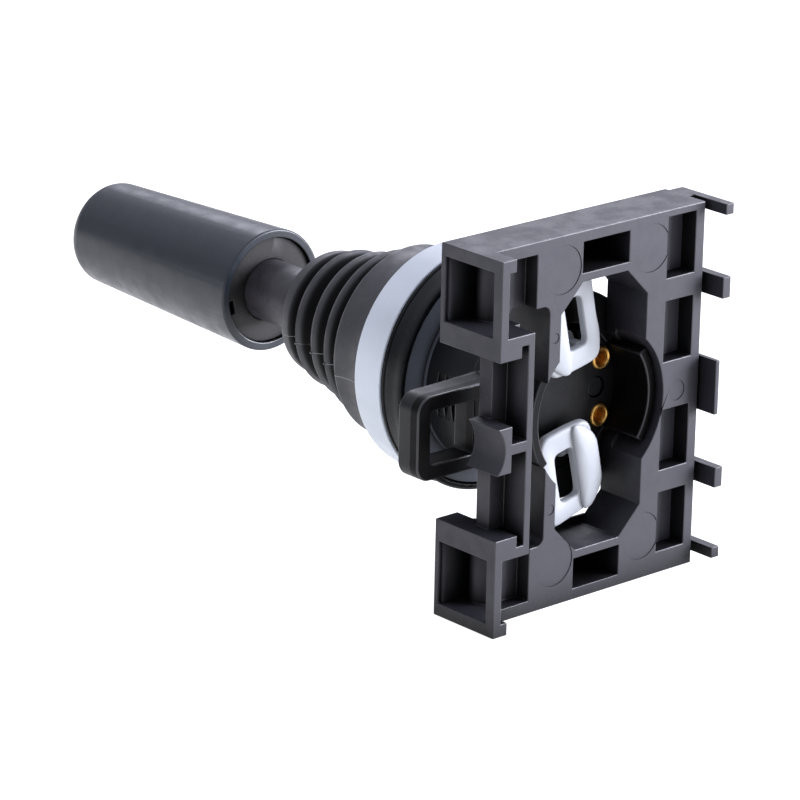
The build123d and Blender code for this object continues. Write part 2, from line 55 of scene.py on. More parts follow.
SLACK = 1e-9

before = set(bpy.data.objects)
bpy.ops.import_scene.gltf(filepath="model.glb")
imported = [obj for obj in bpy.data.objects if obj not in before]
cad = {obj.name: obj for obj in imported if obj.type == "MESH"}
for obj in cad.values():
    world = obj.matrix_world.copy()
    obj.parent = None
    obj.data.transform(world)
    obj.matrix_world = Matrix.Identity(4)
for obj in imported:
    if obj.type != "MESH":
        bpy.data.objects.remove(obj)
cad_low, cad_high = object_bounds()


def width_of(node):
    """How far a CAD node reaches sideways from the lever's axis."""
    return max(corner.co.x for corner in cad[node].data.vertices)


def back_of(node):
    """The height of a CAD node's back."""
    return min(-corner.co.y for corner in cad[node].data.vertices)


def front_of(node):
    """The height of a CAD node's front."""
    return max(-corner.co.y for corner in cad[node].data.vertices)


# Boot: a foot, a skirt up to the lip, three rolls and a cap, with a valley before each next crest
boot_foot_radius = width_of("bellows")
boot_foot_back = back_of("bellows")
boot_foot_front = 9.6 * MM
boot_lip_height = 15.35 * MM
boot_lip_radius = 12.3 * MM
skirt_sag = 0.55 * MM
skirt_sag_pace = 1.05
roll_heights = [19.0 * MM, 22.85 * MM, 26.6 * MM]
roll_radii = [10.8 * MM, 9.65 * MM, 8.95 * MM]
valley_depths = [2.2 * MM, 2.4 * MM, 2.8 * MM, 2.8 * MM]
roll_wall_share = 0.14
roll_fullness = 1.9
crest_lip = 0.12 * MM
crest_lip_share = 0.86
boot_cap_radius = 8.1 * MM
boot_cap_round = 1.5 * MM
boot_cap_front = front_of("bellows")
boot_cap_length = 2.3 * MM
boot_cap_crest = boot_cap_front - boot_cap_length
boot_collar_length = 3 * MM
boot_bore = 4.02 * MM
boot_wall = 0.5 * MM
crest_heights = [boot_lip_height] + roll_heights + [boot_cap_crest]
crest_radii = [boot_lip_radius] + roll_radii + [boot_cap_radius]

# The boot is made in two lengths, split at this height
boot_split = 16.75 * MM

# Steps round the boot, and along each of its lengths
boot_steps = 128
lower_boot_rows = 90
upper_boot_rows = 130

# The boot's mould seam, fading out between two angles from its middle in radians, and its nubs
parting_angle = math.radians(-9.5)
seam_core = 0.003
seam_edge = 0.009
seam_rise = 0.05 * MM
nub_radius = 0.16 * MM

# The boot has painted highlights near its crests and painted shade near its valleys: fully up to the first
# of two distances, and less and less up to the second. A valley lies a share of the way to the next crest.
crest_highlight_core = 0.04 * MM
crest_highlight_edge = 0.3 * MM
valley_shade_core = 0.5 * MM
valley_shade_edge = 1.75 * MM
valley_share = 0.5

# The slot of the grip's plug lies further round in the photo than in the CAD
plug_turn = math.radians(58)

# Rivets
rivet_outer = 0.9 * MM
rivet_bore = 0.62 * MM
rivet_head = 1.5 * MM
rivet_x = width_of("hollow_rivets") - rivet_head
rivet_y = 3.65 * MM
rivet_head_back = back_of("hollow_rivets")
rivet_plate_back = back_of("base_plate")
rivet_mouth = 0.92 * MM
rivet_funnel = 0.77 * MM
rivet_depth = 1.1 * MM
rivet_floor = -9.1 * MM
rivet_foot = 0.35 * MM
rivet_foot_radius = 1.2 * MM
rivet_steps = 32

# Stirrup tappets: the stirrup is one part used twice, turned half round, and is drawn here as the
# lower one, in its own frame about the panel's axis
stirrup_turn = math.radians(12.5)
stirrup_shift = Vector((1.05 * MM, 0.53 * MM))
stirrup_front = -13.9 * MM
stirrup_back = -14.9 * MM
stirrup_edge = 0.45 * MM
stirrup_outline = [(0.9, -3.2), (-2.6, -3.6), (-2.6, -12.3), (-0.6, -14.7), (6.0, -15.2), (6.0, -8.5),
                   (6.2, -6.6), (5.6, -3.2)]
stirrup_corner = 1.6 * MM
window_outline = [(0.75, -5.95), (0.75, -12.4), (3.85, -12.4), (3.85, -5.95)]
window_corner = 0.9 * MM
window_edge = stirrup_edge / 2

# The stirrup's pad is rooted in its plate and has a fine groove round its foot
pad_outline = [(0.75, -3.3), (-0.7, -3.4), (-2.95, -5.8), (-2.95, -12.2), (-0.8, -14.7), (0.75, -14.7)]
pad_corner = 1.3 * MM
pad_root = stirrup_back + 0.3 * MM
pad_edge = stirrup_back - 0.12 * MM
pad_rise = 0.75 * MM
groove_floor = stirrup_back + 0.05 * MM
groove_width = 0.18 * MM

# The tappet's head and stem, as (radius, height)
stem_place = (-1.0 * MM, 6.6 * MM)
stem_outline = [(0.0, -2.0), (1.2, -2.15), (1.9, -2.45), (1.9, -3.25), (1.4, -3.25), (1.4, -11.5),
                (0.7, -11.7), (0.7, -14.0), (0.0, -14.0)]

# Closed walls of the adapter that the CAD leaves open, as (across, up, height) corners of blocks
box_wall = ((11.5, 13.5, -13.05), (19.4, 21.5, -12.3))
recess_floor = ((-4.4, 15.8, -12.45), (4.4, 21.8, -12.15))
pocket_floor = ((-14.75, -3.8, -16.7), (-10.15, 3.8, -16.35))
pocket_centres = [18.3, 7.8, -5.9, -16.4]

# Gasket
gasket_gap = 0.08 * MM
gasket_inner = width_of("housing") + gasket_gap
gasket_outer = width_of("panel_gasket")
gasket_front = front_of("panel_gasket")
gasket_chamfer = 0.15 * MM
gasket_round = 0.4 * MM
gasket_wall = 14.86 * MM
gasket_waist = 14.8 * MM
waist_height = 1.9 * MM
waist_reach = 0.7 * MM
gasket_lip_height = 3.3 * MM
gasket_lip_half = 0.2 * MM
gasket_lip_reach = 0.16 * MM
gasket_steps = 160

# Angles in degrees: facets that turn by less than the first are one face, and an edge is rounded
# only where its faces turn by more than the second
facet_turn = 0.5
sharp_edge = 25

# A face this square to the lever with at least this many corners is a true flat
square_on = 0.999
flat_corners = 30

# The curve at an outline's corner takes at most this share of a side
corner_share = 0.49

# Behind these heights the housing and the locking lever lie in the shade and are dulled
collar_front = -0.3 * MM
lip_front = -12.5 * MM
shade_depth = 0.96
shade_fade = 0.1 * MM

# Colours of painted shade, dust and painted crest highlights, and how open a surface is that gets no
# painted shade
painted_shade_black = (0.0012, 0.0012, 0.0014)
plastic_dust = (0.35, 0.35, 0.36)
rubber_dust = (0.30, 0.30, 0.31)
crest_highlight_grey = (0.20, 0.20, 0.21)
fully_open = 0.93

# Camera: its place and two of its directions, as fitted to the photo
camera_lens = 194.59
camera_sensor = 36
camera_nearest = 0.01
camera_farthest = 20
camera_place = (0.34079, 0.36397, 0.16603)
camera_across = (-0.74919, 0.66210, 0.01859)
camera_behind = (0.63127, 0.70525, 0.32268)

# Light
studio_tint = (0.87, 0.885, 1.0)
lamp_size = 0.5
lamp_aim = (0, -0.02, 0)
rear_lamp = (-0.72, 0.55, 0.22)
rear_power = 22
side_lamp = (-0.5, -0.5, 0.5)
side_power = 3.2
sky_low = 0.36
sky_high = 1.25

# Floor
floor_gap = 0.05 * MM
floor_reach = 6.0
floor_grey = 0.45
floor_glow = 0.9


# Patterns and shading


def finish(name, colour, roughness, metallic=0.0, specular=0.5):
    """A material whose shader holds the values that are the same all over."""
    material = bpy.data.materials.new(name)
    material.use_nodes = True
    shader = material.node_tree.nodes["Principled BSDF"]
    shader.inputs["Base Color"].default_value = (*colour, 1)
    shader.inputs["Roughness"].default_value = roughness
    shader.inputs["Metallic"].default_value = metallic
    shader.inputs["Specular IOR Level"].default_value = specular
    return material


def places(tree, source="Object"):
    """The X, Y and Z of a point on the piece or, from Generated, of a direction in the world."""
    coords = tree.nodes.new("ShaderNodeTexCoord")
    parts = tree.nodes.new("ShaderNodeSeparateXYZ")
    tree.links.new(coords.outputs[source], parts.inputs["Vector"])
    return parts.outputs


def noise(tree, scale, detail=2.0, stretch=(1, 1, 1), turn=(0, 0, 0)):
    """A noise on the piece's own Object coordinates. Scale is the features to a metre."""
    coords = tree.nodes.new("ShaderNodeTexCoord")
    mapping = tree.nodes.new("ShaderNodeMapping")
    mapping.inputs["Scale"].default_value = stretch
    mapping.inputs["Rotation"].default_value = turn
    texture = tree.nodes.new("ShaderNodeTexNoise")
    texture.inputs["Scale"].default_value = scale
    texture.inputs["Detail"].default_value = detail
    tree.links.new(coords.outputs["Object"], mapping.inputs["Vector"])
    tree.links.new(mapping.outputs["Vector"], texture.inputs["Vector"])
    return texture.outputs["Fac"]


def specks(tree, scale, size):
    """Sparse round specks: one where a cell's centre is nearer than the size."""
    coords = tree.nodes.new("ShaderNodeTexCoord")
    cells = tree.nodes.new("ShaderNodeTexVoronoi")
    cells.inputs["Scale"].default_value = scale
    tree.links.new(coords.outputs["Object"], cells.inputs["Vector"])
    return spread(tree, cells.outputs["Distance"], 1.0, 0.0, size * 0.6, size)


def spread(tree, value, low, high, start=0.3, end=0.7):
    """A pattern's values between start and end, turned into values between low and high."""
    ranged = tree.nodes.new("ShaderNodeMapRange")
    ranged.interpolation_type = "SMOOTHSTEP"
    ranged.inputs["From Min"].default_value = start
    ranged.inputs["From Max"].default_value = end
    ranged.inputs["To Min"].default_value = low
    ranged.inputs["To Max"].default_value = high
    tree.links.new(value, ranged.inputs["Value"])
    return ranged.outputs["Result"]


def sums(tree, operation, first, second=0.0):
    """One step of arithmetic on two patterns, or on a pattern and a number."""
    step = tree.nodes.new("ShaderNodeMath")
    step.operation = operation
    for socket, value in zip(step.inputs, (first, second)):
        if isinstance(value, (int, float)):
            socket.default_value = value
        else:
            tree.links.new(value, socket)
    return step.outputs["Value"]


def weakened(tree, pattern, share):
    """A pattern times a number or times another pattern."""
    return sums(tree, "MULTIPLY", pattern, share)


def blended(tree, share, first, second):
    """A colour between two, by a pattern."""
    mix = tree.nodes.new("ShaderNodeMix")
    mix.data_type = "RGBA"
    tree.links.new(share, mix.inputs["Factor"])
    for socket, value in ((mix.inputs[6], first), (mix.inputs[7], second)):
        if isinstance(value, (tuple, list)):
            socket.default_value = (*value, 1)
        else:
            tree.links.new(value, socket)
    return mix.outputs[2]


def toned(colour, factor):
    """A colour made darker or lighter."""
    return tuple(min(1.0, part * factor) for part in colour)


def bumped(tree, layers):
    """Bump nodes in a chain, one for each pattern and its real height."""
    normal = None
    for pattern, height in layers:
        bump = tree.nodes.new("ShaderNodeBump")
        bump.inputs["Distance"].default_value = height
        bump.inputs["Strength"].default_value = 1.0
        tree.links.new(pattern, bump.inputs["Height"])
        if normal is not None:
            tree.links.new(normal, bump.inputs["Normal"])
        normal = bump.outputs["Normal"]
    return normal


def wire(tree, colour, roughness, normal):
    """Joins the finished patterns to the shader."""
    shader = tree.nodes["Principled BSDF"]
    tree.links.new(colour, shader.inputs["Base Color"])
    tree.links.new(roughness, shader.inputs["Roughness"])
    tree.links.new(normal, shader.inputs["Normal"])


def scratches(tree, scale, width, stretch, turn, share):
    """Thin lines where a stretched noise passes its middle, kept only in a share of the surface."""
    line = sums(tree, "SUBTRACT", noise(tree, scale, 0.0, stretch, turn), 0.5)
    line = sums(tree, "ABSOLUTE", line)
    line = spread(tree, line, 1.0, 0.0, start=0.0, end=width)
    patch = spread(tree, noise(tree, scale * 0.6, detail=1.0), 0.0, 1.0, 1 - share, 1.05 - share)
    return weakened(tree, line, patch)


def openness(tree, reach):
    """How open the surface is at a point: 0 deep in a cavity, 1 out in the light."""
    around = tree.nodes.new("ShaderNodeAmbientOcclusion")
    around.samples = 6
    around.inputs["Distance"].default_value = reach
    return around.outputs["AO"]


def behind(tree, height):
    """1 behind a height along the lever and 0 in front of it."""
    return spread(tree, places(tree)["Y"], 0.0, 1.0, -height - shade_fade, -height + shade_fade)


def nearest_of(tree, heights):
    """How far a point is from the nearest of some heights along the lever."""
    along = places(tree)["Y"]
    nearest = 1.0
    for height in heights:
        away = sums(tree, "ABSOLUTE", sums(tree, "ADD", along, height))
        nearest = sums(tree, "MINIMUM", away, nearest)
    return nearest


def paint_shade(tree, tone, reach, specular, depth=0.35, start=0.32, painted_shade=None):
    """Paints shade into a tone: darker in the cavities that the ambient occlusion finds and under any
    painted shade mask, where the shine is dulled too.
    """
    light = spread(tree, openness(tree, reach), 0.0, 1.0, start, fully_open)
    if painted_shade is not None:
        light = weakened(tree, light, sums(tree, "SUBTRACT", 1.0, painted_shade))
    shader = tree.nodes["Principled BSDF"]
    dull = spread(tree, light, specular * depth, specular, 0.0, 1.0)
    tree.links.new(dull, shader.inputs["Specular IOR Level"])
    return blended(tree, light, painted_shade_black, tone)


def parting_line(tree):
    """The thin raised seam that the mould leaves along one side of the boot."""
    place = places(tree)
    angle = sums(tree, "ARCTAN2", place["Z"], place["X"])
    away = sums(tree, "ABSOLUTE", sums(tree, "SUBTRACT", angle, parting_angle))
    line = spread(tree, away, 1.0, 0.0, seam_core, seam_edge)
    patch = spread(tree, noise(tree, 380, detail=1.0), 0.15, 1.0, 0.4, 0.55)
    return weakened(tree, line, patch)


def crest_highlights(tree):
    """Thin painted highlights along the crests of the boot's rolls and its lip."""
    line = spread(tree, nearest_of(tree, crest_heights[:-1]), 1.0, 0.0, crest_highlight_core, crest_highlight_edge)
    patch = spread(tree, noise(tree, 260, detail=3.0), 0.25, 1.0, 0.35, 0.6)
    return weakened(tree, line, patch)


def valley_shade(tree):
    """Painted shade: a dull black band along each of the boot's valleys."""
    valleys = [low + valley_share * (high - low) for low, high in zip(crest_heights, crest_heights[1:])]
    return spread(tree, nearest_of(tree, valleys), 1.0, 0.0, valley_shade_core, valley_shade_edge)


# Materials


def moulded_plastic(name, colour, roughness, grain, grain_height, specular=0.5, shade_reach=7 * MM,
                    shaded=None):
    """Satin moulded plastic: fine grain, faint flow clouds, handling scuffs, a few specks, and painted
    shade in its cavities and behind a shaded height.
    """
    material = finish(name, colour, roughness, specular=specular)
    tree = material.node_tree
    clouds = spread(tree, noise(tree, 90, detail=3.0, stretch=(1, 0.35, 1)), 0.0, 1.0)
    tone = blended(tree, clouds, toned(colour, 0.9), toned(colour, 1.1))
    scuffs = scratches(tree, 210, width=0.004, stretch=(1, 0.2, 1), turn=(0.4, 0.7, 0.2), share=0.3)
    tone = blended(tree, weakened(tree, scuffs, 0.25), tone, toned(colour, 1.8))
    dust = specks(tree, 900, size=0.07)
    tone = blended(tree, weakened(tree, dust, 0.12), tone, plastic_dust)
    # Painted shade: darker and duller in the cavities, and behind the shaded height
    if shade_reach:
        painted_shade = weakened(tree, behind(tree, shaded), shade_depth) if shaded else None
        tone = paint_shade(tree, tone, shade_reach, specular, painted_shade=painted_shade)
    fine = noise(tree, grain)
    rough = spread(tree, noise(tree, 420), roughness - 0.05, roughness + 0.06)
    rough = sums(tree, "ADD", rough, spread(tree, fine, -0.03, 0.03))
    rough = sums(tree, "ADD", rough, weakened(tree, scuffs, 0.08))
    waves = (noise(tree, 140, detail=1.0), 0.006 * MM)
    wire(tree, tone, rough, bumped(tree, [waves, (fine, grain_height)]))
    return material


def moulded_rubber(name, colour, roughness, shine, ribbed=False):
    """Matt moulded rubber: soft skin, faint bloom, held dust, painted shade in its cavities and, where
    ribbed, the mould seam, painted shade in the valleys and painted highlights along the crests.
    """
    material = finish(name, colour, roughness, specular=shine)
    tree = material.node_tree
    bloom = spread(tree, noise(tree, 160, detail=4.0), 0.0, 1.0, 0.35, 0.75)
    tone = blended(tree, bloom, colour, toned(colour, 1.5))
    dust = specks(tree, 1300, size=0.08)
    tone = blended(tree, weakened(tree, dust, 0.25), tone, rubber_dust)
    # Painted shade in the valleys and in the cavities
    painted_shade = valley_shade(tree) if ribbed else None
    tone = paint_shade(tree, tone, 5 * MM, shine, depth=0.1, start=0.5, painted_shade=painted_shade)
    skin = (noise(tree, 450), 0.012 * MM)
    grain = (noise(tree, 5200), 0.004 * MM)
    layers = [skin, grain]
    if ribbed:
        seam = parting_line(tree)
        tone = blended(tree, weakened(tree, seam, 0.5), tone, rubber_dust)
        # Painted highlights along the crests
        tone = blended(tree, weakened(tree, crest_highlights(tree), 0.35), tone, crest_highlight_grey)
        layers.append((seam, seam_rise))
    rough = spread(tree, noise(tree, 600), roughness - 0.06, roughness + 0.08)
    wire(tree, tone, rough, bumped(tree, layers))
    return material


def turned_metal(name, colour, roughness, metallic, tarnish):
    """Metal with fine turning or drawing marks, tarnish clouds and small dents."""
    material = finish(name, colour, roughness, metallic)
    tree = material.node_tree
    cloud = spread(tree, noise(tree, 700, detail=4.0), 0.0, 1.0, 0.4, 0.75)
    tone = blended(tree, cloud, colour, toned(colour, tarnish))
    marks = noise(tree, 900, stretch=(1, 14, 1))
    rough = spread(tree, marks, roughness - 0.08, roughness + 0.1)
    dents = (noise(tree, 500, detail=1.0), 0.01 * MM)
    wire(tree, tone, rough, bumped(tree, [dents, (marks, 0.003 * MM)]))
    return material


# The first numbers of a plastic are its colour, its roughness, and its grain's scale and height
adapter_plastic = moulded_plastic("adapter plastic", (0.0170, 0.0165, 0.0240), 0.54, 5200, 0.006 * MM)
adapter_edge = moulded_plastic("adapter plastic edge", (0.024, 0.023, 0.029), 0.42, 5200, 0.003 * MM)
pocket_plastic = moulded_plastic("pocket floor plastic", (0.0190, 0.0185, 0.0260), 0.54, 5200, 0.006 * MM,
                                 shade_reach=0)
# The locking lever gets painted shade in its cavities and behind lip_front
lever_plastic = moulded_plastic("locking lever plastic", (0.0055, 0.0055, 0.0072), 0.44, 5200, 0.006 * MM,
                                specular=0.3, shade_reach=12 * MM, shaded=lip_front)
lever_edge = moulded_plastic("locking lever edge", (0.012, 0.012, 0.015), 0.34, 5200, 0.003 * MM)
# The housing's pale colour is painted light on its flange, which lies in shade; behind collar_front it gets
# painted shade
housing_plastic = moulded_plastic("housing plastic", (0.1120, 0.1240, 0.1500), 0.40, 2600, 0.03 * MM,
                                  specular=0.6, shade_reach=1.5 * MM, shaded=collar_front)
housing_edge = moulded_plastic("housing plastic edge", (0.018, 0.018, 0.021), 0.36, 2600, 0.01 * MM)
dark_plastic = moulded_plastic("dark housing plastic", (0.0024, 0.0024, 0.0030), 0.55, 3800, 0.006 * MM,
                               specular=0.2)
grip_plastic = moulded_plastic("grip plastic", (0.0085, 0.0130, 0.0200), 0.38, 4600, 0.005 * MM)
grip_edge = moulded_plastic("grip plastic edge", (0.016, 0.021, 0.029), 0.34, 4600, 0.003 * MM)
plug_plastic = moulded_plastic("plug plastic", (0.0080, 0.0062, 0.0062), 0.50, 3800, 0.006 * MM)
pale_plastic = moulded_plastic("pale plastic", (0.50, 0.54, 0.60), 0.42, 4400, 0.003 * MM, shade_reach=0)
white_plastic = moulded_plastic("white plastic", (0.34, 0.355, 0.375), 0.46, 4000, 0.004 * MM, shade_reach=0)
black_rubber = moulded_rubber("boot rubber", (0.0150, 0.0150, 0.0195), 0.5, shine=0.7, ribbed=True)
gasket_rubber = moulded_rubber("gasket rubber", (0.0030, 0.0036, 0.0042), 0.30, shine=0.17)
brass = turned_metal("brass", (0.62, 0.36, 0.10), 0.34, metallic=1.0, tarnish=0.5)
black_steel = turned_metal("blackened steel", (0.044, 0.041, 0.048), 0.42, metallic=0.2, tarnish=0.6)
spring_steel = turned_metal("spring steel", (0.45, 0.45, 0.46), 0.28, metallic=1.0, tarnish=0.7)


# Meshes


def piece_from(name, mesh, materials, body, replaced=()):
    """A finished object in the scene, riding on its body."""
    thing = bpy.data.objects.new(name, mesh)
    bpy.context.scene.collection.objects.link(thing)
    mesh.materials.clear()
    for material in materials:
        mesh.materials.append(material)
    if body:
        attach(thing, body)
    if replaced:
        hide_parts(*replaced)
    return thing


def baked(thing):
    """The object's mesh with its modifiers worked in."""
    graph = bpy.context.evaluated_depsgraph_get()
    mesh = bpy.data.meshes.new_from_object(thing.evaluated_get(graph), depsgraph=graph)
    old = thing.data
    thing.modifiers.clear()
    thing.data = mesh
    bpy.data.meshes.remove(old)
    return mesh


def mesh_of(form, name):
    """The mesh of a form that is finished with."""
    mesh = bpy.data.meshes.new(name)
    form.to_mesh(mesh)
    form.free()
    return mesh


def without_slivers(mesh):
    """Joins the points that rounding leaves in one place, so that no face is without an area."""
    form = bmesh.new()
    form.from_mesh(mesh)
    bmesh.ops.remove_doubles(form, verts=form.verts, dist=FINE_WELD)
    form.to_mesh(mesh)
    form.free()


def has_room(edge, rounding, run, width):
    """True where both faces beside an edge run far enough from it and are wide enough to be rounded."""
    for face in edge.link_faces:
        area = face.calc_area()
        if area < run * rounding * edge.calc_length():
            return False
        if 2 * area < width * rounding * face.calc_perimeter():
            return False
    return True


def rounded_copy(node, rounding, run, width):
    """A CAD node's solid with its facets welded and its sharp edges marked to be rounded off."""
    form = bmesh.new()
    form.from_mesh(cad[node].data)
    bmesh.ops.remove_doubles(form, verts=form.verts, dist=WELD)
    bmesh.ops.dissolve_limit(form, angle_limit=math.radians(facet_turn), verts=form.verts, edges=form.edges)
    weights = form.edges.layers.float.new("bevel_weight_edge")
    for face in form.faces:
        face.smooth = abs(face.normal.y) < square_on or len(face.verts) < flat_corners
    for edge in form.edges:
        if len(edge.link_faces) == 2 and edge.calc_face_angle() > math.radians(sharp_edge):
            roomy = has_room(edge, rounding, run, width)
            edge[weights] = 1.0 if roomy else 0.0
            edge.smooth = roomy
    return mesh_of(form, node)


def dress(node, body, materials, rounding=0.12 * MM, run=2.4, width=0.0, turned=0.0):
    """Puts a rounded copy with worn edges in the place of a rigid CAD node, turned about the lever."""
    mesh = rounded_copy(node, rounding, run, width)
    mesh.transform(Matrix.Rotation(-turned, 4, "Y"))
    thing = piece_from(node + "_dressed", mesh, materials, None)
    bevel = thing.modifiers.new("rounding", "BEVEL")
    bevel.limit_method = "WEIGHT"
    bevel.width = rounding
    bevel.segments = 2
    bevel.use_clamp_overlap = False
    bevel.material = len(materials) - 1
    without_slivers(baked(thing))
    weighted = thing.modifiers.new("shading", "WEIGHTED_NORMAL")
    weighted.keep_sharp = True
    baked(thing)
    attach(thing, body)
    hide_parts(node)
    return thing


def lofted(name, sections, sharpest=50):
    """A closed skin through a ring of sections, each a closed line of points. Doubles are joined."""
    form = bmesh.new()
    rings = []
    for section in sections:
        rings.append([form.verts.new(point) for point in section])
    for here, there in zip(rings, rings[1:] + rings[:1]):
        for low in range(len(here)):
            high = (low + 1) % len(here)
            form.faces.new((here[low], here[high], there[high], there[low])).smooth = True
    bmesh.ops.remove_doubles(form, verts=form.verts, dist=FINE_WELD)
    bmesh.ops.recalc_face_normals(form, faces=form.faces)
    mesh = mesh_of(form, name)
    mesh.set_sharp_from_angle(angle=math.radians(sharpest))
    return mesh


def ways_round(steps):
    """The angles of a full turn that is drawn in a number of steps."""
    return [TURN * step / steps for step in range(steps)]


def bends(steps, whole=QUARTER, first=0):
    """The angles along an arc that is drawn in a number of steps."""
    return [whole * step / steps for step in range(first, steps + 1)]


def lathed(name, outline, steps, sharpest=50):
    """A ring of revolution about the lever from (radius, height) points, closed on itself."""
    sections = []
    for angle in ways_round(steps):
        across, up = math.cos(angle), math.sin(angle)
        sections.append([(radius * across, -height, radius * up) for radius, height in outline])
    return lofted(name, sections, sharpest)


def joined(name, meshes):
    """Several meshes as one."""
    form = bmesh.new()
    for mesh in meshes:
        form.from_mesh(mesh)
        bpy.data.meshes.remove(mesh)
    return mesh_of(form, name)


def ray_reach(outline, centre, angle):
    """How far an outline lies from a centre inside it, in one direction."""
    way = Vector((math.cos(angle), math.sin(angle)))
    best = 0.0
    for start, end in zip(outline, outline[1:] + outline[:1]):
        side = Vector(end) - Vector(start)
        gap = Vector(start) - Vector(centre)
        turn = way.x * side.y - way.y * side.x
        if abs(turn) < PARALLEL:
            continue
        far = (gap.x * side.y - gap.y * side.x) / turn
        along = (gap.x * way.y - gap.y * way.x) / turn
        if far > 0 and -SLACK <= along <= 1 + SLACK:
            best = max(best, far)
    return best


def millimetres(points):
    """Points given in millimetres, in metres."""
    return [Vector(point) * MM for point in points]


def middle_of(points):
    """The mean of some points."""
    return sum(points, Vector((0, 0))) / len(points)


def round_corners(corners, reach, steps=6):
    """An outline with each corner cut by a curve that starts at a distance from it."""
    points = []
    for before, corner, after in zip(corners[-1:] + corners, corners, corners[1:] + corners[:1]):
        sides = []
        for other in (before, after):
            side = other - corner
            sides.append(corner + side.normalized() * min(reach, side.length * corner_share))
        for step in range(steps + 1):
            share = step / steps
            rest = 1 - share
            points.append(sides[0] * rest ** 2 + corner * 2 * share * rest + sides[1] * share ** 2)
    return points


# Boot


def eased(share):
    """A share of the way, starting and ending slowly."""
    return share * share * (3 - 2 * share)


def skirt_radius(height):
    """The boot's outside between its foot and its lip, with a slight sag."""
    share = (height - boot_foot_front) / (boot_lip_height - boot_foot_front)
    sag = math.sin(math.pi * min(1, share * skirt_sag_pace)) * skirt_sag
    return boot_foot_radius + (boot_lip_radius - boot_foot_radius) * share - sag


def roll_radius(share, low_radius, high_radius, depth):
    """The boot's outside at a share of the way between two crests: a steep wall, then a full roll."""
    valley = high_radius - depth
    if share < roll_wall_share:
        drop = eased(min(1, share / roll_wall_share))
        return low_radius + (valley - low_radius) * drop
    back = (1 - share) / (1 - roll_wall_share)
    rise = 1 - back ** roll_fullness
    lip = crest_lip * max(0, (share - crest_lip_share) / (1 - crest_lip_share)) ** 2
    return valley + (high_radius - valley - crest_lip) * rise + lip


def boot_outer_radius(height):
    """The boot's outside: foot, skirt, rolls and cap."""
    if height <= boot_foot_front:
        return boot_foot_radius
    if height <= boot_lip_height:
        return skirt_radius(height)
    crests = list(zip(crest_heights, crest_radii))
    for (low, low_radius), (high, high_radius), depth in zip(crests, crests[1:], valley_depths):
        if height <= high:
            return roll_radius((height - low) / (high - low), low_radius, high_radius, depth)
    share = min(1, (height - boot_cap_crest) / (boot_cap_front - boot_cap_crest))
    return boot_cap_radius - boot_cap_round * (1 - math.sqrt(max(0, 1 - share ** 3)))


def boot_outline(low, high, steps):
    """Outer points up and inner points down between two heights."""
    outer = []
    for step in range(steps + 1):
        height = low + (high - low) * step / steps
        outer.append((boot_outer_radius(height), height))
    inner = []
    for radius, height in reversed(outer):
        inside = boot_bore if height > boot_cap_front - boot_collar_length else radius - boot_wall
        inner.append((max(boot_bore, inside), height))
    return outer + inner


def seam_nubs():
    """The small nubs where the mould's seam crosses the crests."""
    form = bmesh.new()
    for height, radius in zip(roll_heights, roll_radii):
        across = radius * math.cos(parting_angle)
        up = radius * math.sin(parting_angle)
        place = Matrix.Translation((across, -height, up))
        bmesh.ops.create_icosphere(form, subdivisions=2, radius=nub_radius, matrix=place)
    return mesh_of(form, "nubs")


def make_boot():
    """The boot in two lengths, split at one height."""
    lower_outline = boot_outline(boot_foot_back, boot_split, lower_boot_rows)
    upper_outline = boot_outline(boot_split, boot_cap_front, upper_boot_rows)
    lower = lathed("boot_lower", lower_outline, boot_steps, sharpest=75)
    upper = lathed("boot_upper", upper_outline, boot_steps, sharpest=75)
    upper = joined("boot_upper", [upper, seam_nubs()])
    lower_piece = piece_from("boot_lower", lower, [black_rubber], None)
    upper_piece = piece_from("boot_upper", upper, [black_rubber], None)
    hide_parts("bellows")
    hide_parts("bellows")
    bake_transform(lower_piece)
    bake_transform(upper_piece)


# Rivets


def eyelet_mesh():
    """One hollow rivet at the origin of X and Z, rolled over at the back."""
    foot_back = rivet_floor - rivet_foot
    outline = [(0, rivet_floor), (rivet_foot_radius, rivet_floor), (rivet_foot_radius, foot_back),
               (rivet_outer, foot_back), (rivet_outer, rivet_plate_back)]
    centre = (rivet_mouth + rivet_head) / 2
    reach = (rivet_head - rivet_mouth) / 2
    for bend in bends(8, whole=math.pi):
        depth = (rivet_plate_back - rivet_head_back) * math.sin(bend)
        outline.append((centre + reach * math.cos(bend), rivet_plate_back - depth))
    mouth_floor = rivet_plate_back + rivet_depth
    outline += [(rivet_bore, rivet_plate_back + rivet_funnel), (rivet_bore, mouth_floor),
                (0, mouth_floor)]
    return lathed("eyelet", outline, rivet_steps)


